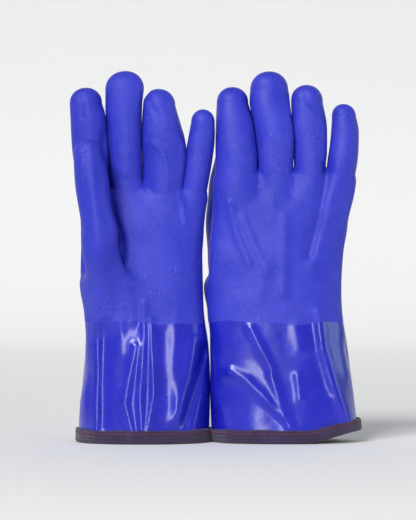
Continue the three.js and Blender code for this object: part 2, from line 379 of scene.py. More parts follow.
# ---- Creases and puckers of the worn skin ----------------------------------------------------
# The coat is stiff, so it creases where the hand bends it. Each crease is a line across the
# front or back: points (x from the line between the gloves, height), half width and rise in mm.
# A negative rise is a groove. Each row is its points, half width, rise and face.
FRONT, BACK = -1, 1
CREASE_HEIGHT, CREASE_SPREAD = 0.85, 1.25  # how low and wide a crease in this coat really lies
CREASES = {
    "left": [
        ([(-89, 118), (-89.5, 94), (-89, 52), (-90, 12)], 3.2, 2.0, FRONT),
        ([(-82, 96), (-83, 52), (-83, 14)], 4.0, -1.5, FRONT),
        ([(-69.5, 108), (-70, 92), (-70, 74)], 3.4, 0.9, FRONT),
        ([(-58, 78), (-63, 52), (-66.5, 32), (-60, 7)], 3.0, 2.0, FRONT),
        ([(-51, 112), (-51, 84), (-54, 40), (-53, 12)], 2.6, 2.1, FRONT),
        ([(-45.5, 100), (-44, 70), (-43, 41), (-48, 9)], 2.4, 1.9, FRONT),
        ([(-34, 90), (-36, 60), (-32, 30)], 5.0, -1.0, FRONT),
        ([(-24, 104), (-26, 66), (-23, 26)], 4.5, 0.9, FRONT),
        ([(-3, 76), (-9, 50), (-19, 16)], 3.6, -2.6, FRONT),
        ([(-12, 82), (-17, 52), (-26, 20)], 4.5, 1.5, FRONT),
        ([(-84, 92), (-80, 60), (-84, 22)], 4.2, 1.6, BACK),
        ([(-60, 84), (-57, 50), (-52, 18)], 4.6, 1.4, BACK),
        ([(-34, 96), (-38, 66), (-33, 30)], 4.2, 1.5, BACK),
        ([(-18, 70), (-16, 40), (-19, 16)], 4.8, -1.4, BACK),
        ([(-92, 208), (-78, 211), (-62, 209)], 4.5, 0.7, BACK),
        ([(-71, 163), (-75, 140), (-73, 104)], 4.2, -1.3, FRONT),
        ([(-64, 142), (-62, 118), (-60, 98)], 3.4, 0.9, FRONT),
        ([(-50, 281), (-44, 268), (-37, 257)], 2.2, -0.9, FRONT),
        ([(-45, 241), (-36, 233), (-32.4, 223), (-32.6, 204)], 2.2, 0.9, FRONT),
        ([(-101, 279), (-101, 262)], 2.0, -0.9, FRONT),
        ([(-93, 238), (-90, 200), (-86, 146), (-79, 104)], 4.0, 1.3, FRONT),
        ([(-20, 238), (-21, 222), (-22, 200), (-18, 178)], 2.2, 0.9, FRONT),
        ([(-52, 207), (-52, 201)], 3.5, 1.0, FRONT),
        ([(-74, 214), (-62, 210)], 2.6, -0.6, FRONT),
    ],
    "right": [
        ([(34, 92), (42, 76), (50.5, 60)], 3.2, 2.0, FRONT),
        ([(18, 58), (30, 51), (44, 38), (59, 22)], 3.4, 2.0, FRONT),
        ([(51, 54), (57, 36), (65, 14)], 3.2, 1.8, FRONT),
        ([(71, 92), (75, 74)], 5.0, 1.3, FRONT),
        ([(72, 54), (74, 36)], 3.2, 1.6, FRONT),
        ([(89, 104), (92.5, 75), (101, 48), (112, 18)], 4.2, 2.6, FRONT),
        ([(83, 96), (85, 70), (92, 40)], 5.0, -1.3, FRONT),
        ([(17, 192), (23, 168), (33, 144)], 3.2, 1.5, FRONT),
        ([(28, 180), (36, 160), (47, 138)], 3.4, 1.4, FRONT),
        ([(61, 181), (61, 150), (60, 120)], 3.8, 1.2, FRONT),
        ([(50, 146), (44, 132), (40, 116)], 4.5, 0.9, FRONT),
        ([(20, 94), (24, 62), (20, 26)], 4.4, 1.5, BACK),
        ([(44, 80), (49, 50), (56, 18)], 4.6, 1.7, BACK),
        ([(76, 96), (73, 62), (78, 26)], 4.4, 1.4, BACK),
        ([(98, 84), (100, 52), (104, 22)], 5.0, -1.5, BACK),
        ([(34, 150), (52, 172), (76, 188), (100, 194)], 4.0, -1.0, BACK),
        ([(36, 132), (50, 150), (60, 176)], 4.2, -0.9, BACK),
        ([(77, 286), (80, 276), (91, 266)], 2.4, -1.1, FRONT),
        ([(41, 224), (43, 212), (47, 200)], 4.0, -1.0, FRONT),
        ([(70, 224), (69, 214), (66, 202)], 4.0, -0.9, FRONT),
        ([(49, 198), (52, 188), (50, 178)], 4.0, 0.9, FRONT),
        ([(104, 220), (100, 196), (94, 172), (84, 140)], 4.5, 0.9, FRONT),
        ([(95.8, 224), (94, 212), (89, 182), (81, 152)], 3.2, -2.8, FRONT),
    ],
}


# The coat also undulates everywhere: the least and most phase, length and height of its waves.
WAVE_SPANS = [(0, 2 * math.pi), (22, 60), (0.1, 0.22)]


def crease_field(glove):
    """How far the skin stands proud of the former at each point, in mm."""
    rng = np.random.default_rng(7 if glove == "left" else 11)
    waves = [
        (rng.normal(size=3), *(rng.uniform(*span) for span in WAVE_SPANS))
        for _ in range(10)
    ]
    folds = [
        ([(BETWEEN + px, pz) for px, pz in line], width, height, face)
        for line, width, height, face in CREASES[glove]
    ]

    def rise(x, y, z):
        total = np.zeros(np.shape(x))
        for way, phase, length, height in waves:
            way = way / np.linalg.norm(way)
            along = way[0] * x + way[1] * y + way[2] * z
            total += height * np.sin(2 * math.pi * along / length + phase)
        total *= smooth(2, 8, np.abs(y))
        for line, width, height, face in folds:
            best = np.full(np.shape(x), 1e9)
            for (ax, az), (bx, bz) in zip(line[:-1], line[1:]):
                span = (bx - ax) ** 2 + (bz - az) ** 2
                t = np.clip(((x - ax) * (bx - ax) + (z - az) * (bz - az)) / span, 0, 1)
                best = np.minimum(best, np.hypot(x - ax - t * (bx - ax), z - az - t * (bz - az)))
            facing = smooth(0, 8, face * y)
            shape = np.exp(-((best / (CREASE_SPREAD * width)) ** 2))
            total += CREASE_HEIGHT * height * facing * shape
        return total

    return rise


def worn(glove, only=FINGERS, with_thumb=True):
    """The skin's outer face on the hand: the former with its creases."""
    base = former(glove, only, with_thumb)
    rise = crease_field(glove)
    return lambda x, y, z: base(x, y, z) - rise(x, y, z)


# ---- The skin: frosted hand coat and glossy gauntlet -----------------------------------------
# One dipped PVC skin, 1.4 mm thick. It is cut at the bends of the CAD model into pieces.
SKIN_WALL = 1.4
GRID = 1.15


def gradient(field, points, step=0.05):
    x, y, z = points.T
    return np.stack(
        [
            (field(x + step, y, z) - field(x - step, y, z)) / (2 * step),
            (field(x, y + step, z) - field(x, y - step, z)) / (2 * step),
            (field(x, y, z + step) - field(x, y, z - step)) / (2 * step),
        ],
        axis=1,
    )


def settle(field, points, level=0.0, rounds=3):
    """Moves points along the field's slope until they lie on its surface at the given level."""
    for _ in range(rounds):
        slope = gradient(field, points)
        square = np.maximum((slope**2).sum(1), 0.05)
        step = (field(*points.T) - level) / square
        points = points - slope * np.clip(step, -1.5, 1.5)[:, None]
    return points


def skin_surface(coarse, fine, low, high, grid=GRID, level=0.0):
    """The closed surface of a field in a box, as points and four-sided faces."""
    axes = [np.arange(low[k], high[k] + grid, grid) for k in range(3)]
    x, y, z = np.meshgrid(*axes, indexing="ij", sparse=True)
    values = np.broadcast_to(coarse(x, y, z), [len(a) for a in axes]).astype(np.float32)
    volume = openvdb.FloatGrid()
    volume.background = 10.0
    volume.copyFromArray(np.ascontiguousarray(values))
    points, quads = volume.convertToQuads(isovalue=level)
    points = np.asarray(points, float) * grid + np.asarray(low, float)
    return settle(fine, points, level), np.asarray(quads, int)


class Sheet:
    """An open sheet being cut: a bmesh in millimetres."""

    def __init__(self, points, faces):
        mesh = bpy.data.meshes.new("cut")
        mesh.from_pydata(points.tolist(), [], np.asarray(faces).tolist())
        self.bm = bmesh.new()
        self.bm.from_mesh(mesh)
        bpy.data.meshes.remove(mesh)

    def cut(self, height, lift=None):
        """Cuts every face along z = height, or along height + lift(x, y)."""
        if lift is not None:
            for v in self.bm.verts:
                v.co.z -= lift(v.co.x, v.co.y)
        parts = self.bm.verts[:] + self.bm.edges[:] + self.bm.faces[:]
        plane = dict(plane_co=(0, 0, height), plane_no=(0, 0, 1), dist=0.02)
        bmesh.ops.bisect_plane(self.bm, geom=parts, **plane)
        if lift is not None:
            for v in self.bm.verts:
                v.co.z += lift(v.co.x, v.co.y)

    def take(self, keep):
        """A copy of the faces whose middles pass keep(x, y, z)."""
        middles = np.array([f.calc_center_median() for f in self.bm.faces])
        chosen = keep(*middles.T)
        points, faces, used = [], [], {}
        for face, wanted in zip(self.bm.faces, chosen):
            if not wanted:
                continue
            corners = []
            for v in face.verts:
                if v.index not in used:
                    used[v.index] = len(points)
                    points.append(v.co[:])
                corners.append(used[v.index])
            faces.append(corners)
        return np.array(points), faces

    def index(self):
        self.bm.verts.index_update()


def in_scene(name, data):
    obj = bpy.data.objects.new(name, data)
    bpy.context.scene.collection.objects.link(obj)
    return obj


def walled(name, points, faces, normals, thickness, jagged=None):
    """A closed mesh from an open sheet: its outer face, an inner face, and rims between them."""
    count = len(points)
    inner = points - normals * thickness
    if jagged is not None:
        inner = jagged(inner, normals)
    sides = {}
    for face in faces:
        for a, b in zip(face, face[1:] + face[:1]):
            if (b, a) in sides:
                del sides[(b, a)]
            else:
                sides[(a, b)] = True
    all_faces = [list(f) for f in faces]
    all_faces += [[v + count for v in reversed(f)] for f in faces]
    all_faces += [[b, a, a + count, b + count] for a, b in sides]
    mesh = bpy.data.meshes.new(name)
    mesh.from_pydata((np.concatenate([points, inner]) * MM).tolist(), [], all_faces)
    mesh.polygons.foreach_set("use_smooth", [True] * len(mesh.polygons))
    mesh.normals_split_custom_set_from_vertices(np.concatenate([normals, -normals]).tolist())
    mesh.validate()
    return in_scene(name, mesh)


def unit(vectors):
    return vectors / np.maximum(np.linalg.norm(vectors, axis=1), 1e-9)[:, None]


# Where the skin is cut: the wavy line where the frosted coat starts, just over the crotches of the
# fingers, over the thumb's web, and between the two bends of each finger and thumb.
FROST_LINE = JOINTS["left_wrist"][2]
THUMB_CUT = 153.0
HEM_EDGE = 1.3
HEM_RISE = {"left": 0.0, "right": 9.0}  # the right hem rides up on its outer side
HEM_SHIFT = {"left": 0, "right": 1.6}  # how far the rise is centred from the gauntlet's middle
HEM_SPAN = 117.0  # the width that the rise is spread over
DIGITS = [*FINGERS, "thumb"]
BEND_HALF = {"index": 14.0, "middle": 15.0, "ring": 14.0, "little": 11.0, "thumb": 13.5}


def frost_wave(x, y):
    return 1.3 * math.sin(x / 15 + 0.6) + 0.7 * math.sin(x / 6.1) + 0.8 * math.sin(y / 9)


def hem_lift(glove):
    low, high = node_box(f"{glove}_gauntlet")
    middle = (low[0] + high[0]) / 2 + HEM_SHIFT[glove]
    start, end = middle + 0.1 * HEM_SPAN, middle + 0.5 * HEM_SPAN
    rise = HEM_RISE[glove]
    return lambda x, y: rise * smooth(start, end, x)


def bend_zones(glove, digit):
    """The heights between which a digit bends at its root and at its middle."""
    names = ("swing", "bend") if digit == "thumb" else ("knuckle", "middle")
    root = JOINTS[f"{glove}_{digit}_{names[0]}"]
    middle = JOINTS[f"{glove}_{digit}_{names[1]}"]
    low = THUMB_CUT if digit == "thumb" else CROTCH_CUT[glove]
    half = BEND_HALF[digit]
    split = middle[2] - half - 0.5
    return root, middle, (low, split - 0.5), (middle[2] - half, middle[2] + half), split


def bend_at_wrist(obj):
    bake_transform(obj)


def bend_at_root(obj):
    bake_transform(obj)


def bend_at_middle(obj):
    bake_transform(obj)


def hand_pieces(glove, level, grid):
    """The open sheets of one layer of a glove, cut at its bends: name, points, faces, normals."""
    palm, thumb, _ = former_parts(glove)
    knuckles = CROTCH_CUT[glove]
    sheets = {}
    box = [node_box(f"{glove}_{node}") for node in ("palm", "gauntlet", "thumb_tip")]
    low = np.min([b[0] for b in box], axis=0) - 8
    high = np.max([b[1] for b in box], axis=0) + 8
    field = worn(glove)
    points, quads = skin_surface(
        former(glove), field, (low[0], low[1], -7), (high[0], high[1], knuckles + 3), grid, level
    )
    body = Sheet(points, quads)
    body.cut(HEM_EDGE, hem_lift(glove))
    body.cut(FROST_LINE, frost_wave)
    body.cut(THUMB_CUT)
    body.cut(knuckles)
    body.index()
    lift = np.vectorize(hem_lift(glove))
    wave = np.vectorize(frost_wave)

    def is_thumb(x, y, z):
        return (z > THUMB_CUT) & (thumb(x, y, z) < palm(x, y, z)) & (SIDE[glove] * y > 12)

    def in_palm(x, y, z):
        return (z > FROST_LINE + wave(x, y)) & (z < knuckles) & ~is_thumb(x, y, z)

    def in_gauntlet(x, y, z):
        return (z > HEM_EDGE + lift(x, y)) & (z < FROST_LINE + wave(x, y))

    for name, keep in (("palm", in_palm), ("gauntlet", in_gauntlet)):
        points, faces = body.take(keep)
        sheets[name] = (points, faces, unit(gradient(field, points)))
    body.bm.free()

    for digit in DIGITS:
        is_finger = digit != "thumb"
        only = [digit] if is_finger else []
        coarse, fine = former(glove, only, not is_finger), worn(glove, only, not is_finger)
        boxes = [node_box(f"{glove}_{digit}_{half}") for half in ("base", "tip")]
        low = np.min([b[0] for b in boxes], axis=0) - 7
        high = np.max([b[1] for b in boxes], axis=0) + 7
        foot = knuckles if is_finger else THUMB_CUT
        points, quads = skin_surface(coarse, fine, (low[0], low[1], foot - 5), high, grid, level)
        _, _, _, _, split = bend_zones(glove, digit)
        sheet = Sheet(points, quads)
        sheet.cut(foot)
        sheet.cut(split)
        sheet.index()
        own = (lambda x, y, z: z > foot) if is_finger else is_thumb
        for half, keep in (
            ("base", lambda x, y, z: own(x, y, z) & (z < split)),
            ("tip", lambda x, y, z: own(x, y, z) & (z > split)),
        ):
            points, faces = sheet.take(keep)
            sheets[f"{digit}_{half}"] = (points, faces, unit(gradient(fine, points)))
        sheet.bm.free()
    return sheets


def bend(obj, part):
    if part in ("palm", "gauntlet"):
        bend_at_wrist(obj)
    elif part.endswith("_base"):
        bend_at_root(obj)
    else:
        bend_at_middle(obj)


def material(name):
    new = bpy.data.materials.new(name)
    new.use_nodes = True
    return new, new.node_tree.nodes, new.node_tree.links


def node(nodes, kind, **values):
    made = nodes.new(kind)
    for key, value in values.items():
        setattr(made, key, value)
    return made


def linear(red, green, blue):
    """Screen colour, 0 to 255, as the linear colour that shaders use."""
    parts = [c / 255 for c in (red, green, blue)]
    return [c / 12.92 if c < 0.04045 else ((c + 0.055) / 1.055) ** 2.4 for c in parts] + [1.0]


def group_node(nodes, group, **values):
    made = node(nodes, "ShaderNodeGroup", node_tree=group)
    for key, value in values.items():
        made.inputs[key.replace("_", " ")].default_value = value
    return made


def new_group(name, inputs, outputs):
    group = bpy.data.node_groups.new(name, "ShaderNodeTree")
    for label, kind, value in inputs:
        socket = group.interface.new_socket(label, in_out="INPUT", socket_type=kind)
        socket.default_value = value
    for label, kind in outputs:
        group.interface.new_socket(label, in_out="OUTPUT", socket_type=kind)
    nodes = group.nodes
    return group, nodes, group.links, nodes.new("NodeGroupInput"), nodes.new("NodeGroupOutput")


def math_node(nodes, links, operation, *values, clamp=False):
    made = node(nodes, "ShaderNodeMath", operation=operation, use_clamp=clamp)
    for socket, value in zip(made.inputs, values):
        if isinstance(value, (int, float)):
            socket.default_value = value
        else:
            links.new(value, socket)
    return made.outputs[0]


def noise_at(nodes, links, where, scale, detail, roughness=0.5):
    noise = node(nodes, "ShaderNodeTexNoise")
    noise.inputs["Detail"].default_value = detail
    noise.inputs["Roughness"].default_value = roughness
    links.new(where, noise.inputs["Vector"])
    if isinstance(scale, (int, float)):
        noise.inputs["Scale"].default_value = scale
    else:
        links.new(scale, noise.inputs["Scale"])
    return noise.outputs["Fac"]


def make_cloudy_tone():
    """Colour that drifts between two tones, and the amount of that drift."""
    group, nodes, links, given, result = new_group(
        "cloudy_tone",
        [
            ("Deep", "NodeSocketColor", (0, 0, 0, 1)),
            ("Pale", "NodeSocketColor", (1, 1, 1, 1)),
            ("Scale", "NodeSocketFloat", 30.0),
        ],
        [("Color", "NodeSocketColor"), ("Cloud", "NodeSocketFloat")],
    )
    where = node(nodes, "ShaderNodeTexCoord").outputs["Object"]
    cloud = noise_at(nodes, links, where, given.outputs["Scale"], 5, 0.62)
    spread = math_node(nodes, links, "MULTIPLY_ADD", cloud, 3.2, -1.1, clamp=True)
    mix = node(nodes, "ShaderNodeMix", data_type="RGBA")
    links.new(spread, mix.inputs["Factor"])
    links.new(given.outputs["Deep"], mix.inputs[6])
    links.new(given.outputs["Pale"], mix.inputs[7])
    links.new(mix.outputs[2], result.inputs["Color"])
    links.new(spread, result.inputs["Cloud"])
    return group


def make_grain():
    """Fine grain that comes and goes in patches: a height, and a mask of its high grains."""
    group, nodes, links, given, result = new_group(
        "patchy_grain",
        [
            ("Grain Scale", "NodeSocketFloat", 800.0),
            ("Patch Scale", "NodeSocketFloat", 30.0),
            ("Evenness", "NodeSocketFloat", 0.5),
        ],
        [("Height", "NodeSocketFloat"), ("Mask", "NodeSocketFloat")],
    )
    where = node(nodes, "ShaderNodeTexCoord").outputs["Object"]
    grain = noise_at(nodes, links, where, given.outputs["Grain Scale"], 2.5, 0.65)
    patches = noise_at(nodes, links, where, given.outputs["Patch Scale"], 3, 0.5)
    sharper = math_node(nodes, links, "MULTIPLY_ADD", patches, 4.0, -1.6, clamp=True)
    amount = math_node(nodes, links, "MAXIMUM", sharper, given.outputs["Evenness"])
    height = math_node(nodes, links, "MULTIPLY", grain, amount)
    peaks = math_node(nodes, links, "MULTIPLY_ADD", grain, 7.0, -4.1, clamp=True)
    links.new(height, result.inputs["Height"])
    links.new(math_node(nodes, links, "MULTIPLY", peaks, amount), result.inputs["Mask"])
    return group


cloudy_tone = make_cloudy_tone()
patchy_grain = make_grain()


def tone_into(nodes, links, shader, deep, pale, scale):
    tone = group_node(nodes, cloudy_tone, Deep=linear(*deep), Pale=linear(*pale), Scale=scale)
    links.new(tone.outputs["Color"], shader.inputs["Base Color"])
    return tone


def bumps_into(nodes, links, shader, layers):
    """Stacks bumps, coarse first: each layer is a height and its depth in metres."""
    normal = None
    for height, depth in layers:
        bump = node(nodes, "ShaderNodeBump")
        bump.inputs["Distance"].default_value = depth
        links.new(height, bump.inputs["Height"])
        if normal is not None:
            links.new(normal, bump.inputs["Normal"])
        normal = bump.outputs["Normal"]
    links.new(normal, shader.inputs["Normal"])


def make_frosted_coat():
    """PVC with a sanded, non-slip surface: matt, a little smoother where its grain is proud, and
    with painted glints there: pale specks mixed into its colour.
    """
    new, nodes, links = material("frosted_coat")
    shader = nodes["Principled BSDF"]
    tone = tone_into(nodes, links, shader, (38, 46, 180), (54, 60, 194), 22)
    where = node(nodes, "ShaderNodeTexCoord").outputs["Object"]
    grain = group_node(nodes, patchy_grain, Grain_Scale=680.0, Patch_Scale=24.0, Evenness=0.15)
    # Painted glints: pale specks mixed into the base colour where the grain is proud, in place of
    # sparkle from the light.
    painted_glints = node(nodes, "ShaderNodeMix", data_type="RGBA")
    glint_amount = math_node(nodes, links, "MULTIPLY", grain.outputs["Mask"], 0.3)
    links.new(glint_amount, painted_glints.inputs["Factor"])
    links.new(tone.outputs["Color"], painted_glints.inputs[6])
    painted_glints.inputs[7].default_value = linear(150, 160, 225)
    links.new(painted_glints.outputs[2], shader.inputs["Base Color"])
    rough = math_node(nodes, links, "MULTIPLY_ADD", grain.outputs["Mask"], -0.22, 0.5)
    links.new(rough, shader.inputs["Roughness"])
    soft = noise_at(nodes, links, where, 70, 3)
    bumps_into(nodes, links, shader, [(soft, 0.0008), (grain.outputs["Height"], 0.0007)])
    shader.inputs["Specular IOR Level"].default_value = 0.38
    return new


def make_glossy_coat():
    """The same PVC left smooth: a clear gloss, with a greyer painted sheen where the attribute
    marks it, in place of the room's reflection on the right gauntlet's outer side.
    """
    new, nodes, links = material("glossy_coat")
    shader = nodes["Principled BSDF"]
    tone = tone_into(nodes, links, shader, (20, 24, 168), (32, 36, 186), 26)
    # Painted reflection: a grey-blue sheen mixed into the colour along the right gauntlet's outer
    # side.
    sheen_mark = node(nodes, "ShaderNodeAttribute", attribute_name="painted_side_sheen")
    painted_sheen = node(nodes, "ShaderNodeMix", data_type="RGBA")
    sheen_amount = math_node(nodes, links, "MULTIPLY", sheen_mark.outputs["Fac"], 0.6)
    links.new(sheen_amount, painted_sheen.inputs["Factor"])
    links.new(tone.outputs["Color"], painted_sheen.inputs[6])
    painted_sheen.inputs[7].default_value = linear(44, 66, 150)
    links.new(painted_sheen.outputs[2], shader.inputs["Base Color"])
    where = node(nodes, "ShaderNodeTexCoord").outputs["Object"]
    grain = group_node(nodes, patchy_grain, Grain_Scale=420.0, Patch_Scale=45.0, Evenness=0.1)
    scuffs = math_node(nodes, links, "MULTIPLY_ADD", grain.outputs["Mask"], 0.25, 0.27)
    links.new(scuffs, shader.inputs["Roughness"])
    ripple = noise_at(nodes, links, where, 42, 2)
    bumps_into(nodes, links, shader, [(ripple, 0.0012), (grain.outputs["Height"], 0.00006)])
    shader.inputs["Coat Weight"].default_value = 0.3
    shader.inputs["Coat Roughness"].default_value = 0.18
    return new


# On the right gauntlet a painted sheen, in place of the reflection on its outer side, lies beyond
# this line: height, and x from the line between the gloves.
PAINTED_SHEEN_LINE = [(0, 125), (17, 117.5), (47, 104), (74, 96), (99, 90)]


# Marks where the glossy coat gets its painted sheen; the left glove gets none.
def mark_painted_side_sheen(skin, glove):
    points = np.array([v.co for v in skin.data.vertices]) / MM
    heights, edge = zip(*PAINTED_SHEEN_LINE)
    past = points[:, 0] - BETWEEN - np.interp(points[:, 2], heights, edge)
    amount = smooth(-0.6, 1.2, past) * (1 - smooth(6, 20, points[:, 1]))
    if glove == "left":
        amount = amount * 0
    mark = skin.data.attributes.new("painted_side_sheen", "FLOAT", "POINT")
    mark.data.foreach_set("value", amount.astype(np.float32))


frosted_coat = make_frosted_coat()
glossy_coat = make_glossy_coat()

for glove in SIDE:
    for part, (points, faces, normals) in hand_pieces(glove, 0.0, GRID).items():
        skin = walled(f"{glove}_{part}_skin", points, faces, normals, SKIN_WALL)
        skin.data.materials.append(glossy_coat if part == "gauntlet" else frosted_coat)
        if part == "gauntlet":
            mark_painted_side_sheen(skin, glove)
        bend(skin, part)
        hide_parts(f"{glove}_{part}")


# ---- The pile lining --------------------------------------------------------------------------
# A cream acrylic pile, knitted into a jersey bag and turned so the pile faces the hand. It fills
# the glove from the hem to the fingertips and is cut like the skin over it.
LINING_OUTSIDE = -(SKIN_WALL + 0.4)  # the field level that its outer face follows
PILE_DEPTH = 2.3
PILE_TUFT = 0.3
LINING_GRID = 1.9


def tufted(seed):
    rng = np.random.default_rng(seed)

    def jagged(points, normals):
        return points + normals * rng.uniform(-PILE_TUFT, PILE_TUFT, len(points))[:, None]

    return jagged


def make_pile():
    new, nodes, links = material("pile_lining")
    shader = nodes["Principled BSDF"]
    tone_into(nodes, links, shader, (196, 188, 168), (226, 221, 206), 160)
    grain = group_node(nodes, patchy_grain, Grain_Scale=620.0, Patch_Scale=120.0, Evenness=0.7)
    bumps_into(nodes, links, shader, [(grain.outputs["Height"], 0.0018)])
    shader.inputs["Roughness"].default_value = 0.95
    shader.inputs["Sheen Weight"].default_value = 0.4
    shader.inputs["Sheen Roughness"].default_value = 0.6
    return new


pile_lining = make_pile()
LINING_NODES = {"palm": "palm_lining", "gauntlet": "cuff_lining"}
for glove in SIDE:
    pieces = hand_pieces(glove, LINING_OUTSIDE, LINING_GRID)
    for seed, (part, (points, faces, normals)) in enumerate(pieces.items()):
        name = f"{glove}_{part}_pile"
        lining = walled(name, points, faces, normals, PILE_DEPTH, tufted(seed))
        lining.data.materials.append(pile_lining)
        bend(lining, part)
        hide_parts(f"{glove}_{LINING_NODES.get(part, part + '_lining')}")


# ---- The hem binding and its stitching --------------------------------------------------------
# A woven tape folded over the raw hem, inside and out, and stitched through all the layers with
# one row of red thread. It puckers a little between the stitches.
TAPE_HEIGHT = 11.0
TAPE_THICK = 0.9
TAPE_OUT = 0.95  # the outer leg's middle, outside the skin
TAPE_IN = -5.5  # the inner leg's middle, inside the lining
HEM_STEPS = 240
THREAD_HEIGHT = 8.2
STITCH_PITCH = 3.4


def hem_line(glove, level, height):
    """Points round the gauntlet where the worn skin's field has the given level."""
    field = worn(glove, [], False)
    low, high = node_box(f"{glove}_gauntlet")
    middle = (low + high) / 2
    turn = np.linspace(0, 2 * math.pi, HEM_STEPS, endpoint=False)
    squared = np.abs(np.cos(turn)) ** PALM_SQUARENESS + np.abs(np.sin(turn)) ** PALM_SQUARENESS
    shorter = squared ** (1 / PALM_SQUARENESS)
    way_x, way_y = np.cos(turn) / shorter, np.sin(turn) / shorter
    near, far = np.full(HEM_STEPS, 0.5), np.full(HEM_STEPS, 1.5)
    half = (high - low) / 2
    for _ in range(26):
        reach = (near + far) / 2
        x, y = middle[0] + half[0] * reach * way_x, half[1] * reach * way_y
        inside = field(x, y, np.full(HEM_STEPS, height)) < level
        near, far = np.where(inside, reach, near), np.where(inside, far, reach)
    return x, y


def tape_section():
    """The folded tape's closed outline: level from the skin, and height."""
    middle = [(TAPE_OUT, TAPE_HEIGHT - 0.45), (TAPE_OUT, 7.5), (TAPE_OUT, 4.5), (TAPE_OUT, 2.2)]
    middle += [(TAPE_OUT - 0.5, 0.9), (TAPE_OUT - 1.6, 0.47), (-2.4, 0.45)]
    middle += [(TAPE_IN + 1.4, 0.5), (TAPE_IN + 0.4, 1.0), (TAPE_IN, 2.4)]
    middle += [(TAPE_IN, 5.0), (TAPE_IN, 8.0), (TAPE_IN, TAPE_HEIGHT - 0.45)]
    middle = np.array(middle)
    along = np.gradient(middle, axis=0)
    along /= np.linalg.norm(along, axis=1)[:, None]
    across = np.stack([-along[:, 1], along[:, 0]], axis=1) * TAPE_THICK / 2
    outer, inner = middle + across, middle - across
    start = [middle[0] - along[0] * TAPE_THICK / 2]
    end = [middle[-1] + along[-1] * TAPE_THICK / 2]
    return np.concatenate([start, inner, end, outer[::-1]])


def tape_mesh(glove):
    rng = np.random.default_rng(3 if glove == "left" else 5)
    section = tape_section()
    lift = np.vectorize(hem_lift(glove))
    turn = np.arange(HEM_STEPS) * 2 * math.pi / HEM_STEPS

    def ripples(low, high, counts):
        return sum(rng.uniform(low, high) * np.sin(k * turn + rng.uniform(0, 6.3)) for k in counts)

    pucker = ripples(0.06, 0.16, (23, 31, 44, 57, 71))
    waver = ripples(0.1, 0.25, (3, 5, 9, 14))
    rings = []
    for level, height in section:
        x, y = hem_line(glove, level, height)
        raised = smooth(2, TAPE_HEIGHT, height)
        out = np.stack([np.gradient(y), -np.gradient(x)], axis=1)
        out /= np.linalg.norm(out, axis=1)[:, None]
        way = 1 if level > -2 else -1
        x = x + out[:, 0] * pucker * raised * way
        y = y + out[:, 1] * pucker * raised * way
        z = height + waver * raised + lift(x, y) * (1 - height / FROST_LINE)
        rings.append(np.stack([x, y, z], axis=1))
    count = len(rings)
    points = np.concatenate(rings)
    faces, corners = [], []
    for i in range(count):
        j = (i + 1) % count
        for k in range(HEM_STEPS):
            m = (k + 1) % HEM_STEPS
            here, there = i * HEM_STEPS, j * HEM_STEPS
            faces.append([here + k, there + k, there + m, here + m])
            corners += [(k, i), (k, i + 1), (k + 1, i + 1), (k + 1, i)]
    mesh = bpy.data.meshes.new(f"{glove}_hem_tape")
    mesh.from_pydata((points * MM).tolist(), [], faces)
    uv = mesh.uv_layers.new(name="along_tape")
    uv.data.foreach_set("uv", [c for k, i in corners for c in (k / HEM_STEPS, i / count)])
    mesh.polygons.foreach_set("use_smooth", [True] * len(mesh.polygons))
    edit = bmesh.new()
    edit.from_mesh(mesh)
    bmesh.ops.recalc_face_normals(edit, faces=edit.faces)
    edit.to_mesh(mesh)
    edit.free()
    return in_scene(f"{glove}_hem_tape", mesh)


def make_tape():
    """Plum-coloured woven tape: crossing ribs that follow the tape round the hem."""
    new, nodes, links = material("binding_tape")
    shader = nodes["Principled BSDF"]
    tone_into(nodes, links, shader, (32, 19, 58), (56, 33, 78), 60)
    place = node(nodes, "ShaderNodeUVMap", uv_map="along_tape")
    ribs = node(nodes, "ShaderNodeTexWave", wave_type="BANDS", bands_direction="X")
    ribs.inputs["Scale"].default_value = 70
    ribs.inputs["Distortion"].default_value = 1.2
    links.new(place.outputs["UV"], ribs.inputs["Vector"])
    rows = node(nodes, "ShaderNodeTexWave", wave_type="BANDS", bands_direction="Y")
    rows.inputs["Scale"].default_value = 9
    rows.inputs["Distortion"].default_value = 0.6
    links.new(place.outputs["UV"], rows.inputs["Vector"])
    weave = math_node(nodes, links, "MAXIMUM", ribs.outputs["Fac"], rows.outputs["Fac"])
    grain = group_node(nodes, patchy_grain, Grain_Scale=900.0, Patch_Scale=80.0, Evenness=0.6)
    bumps_into(nodes, links, shader, [(weave, 0.0005), (grain.outputs["Height"], 0.0004)])
    shader.inputs["Roughness"].default_value = 0.72
    shader.inputs["Sheen Weight"].default_value = 0.25
    return new


def make_thread():
    new, nodes, links = material("binding_thread")
    shader = nodes["Principled BSDF"]
    tone_into(nodes, links, shader, (104, 34, 48), (140, 52, 66), 300)
    grain = group_node(nodes, patchy_grain, Grain_Scale=2200.0, Patch_Scale=100.0, Evenness=0.8)
    bumps_into(nodes, links, shader, [(grain.outputs["Height"], 0.0003)])
    shader.inputs["Roughness"].default_value = 0.6
    return new


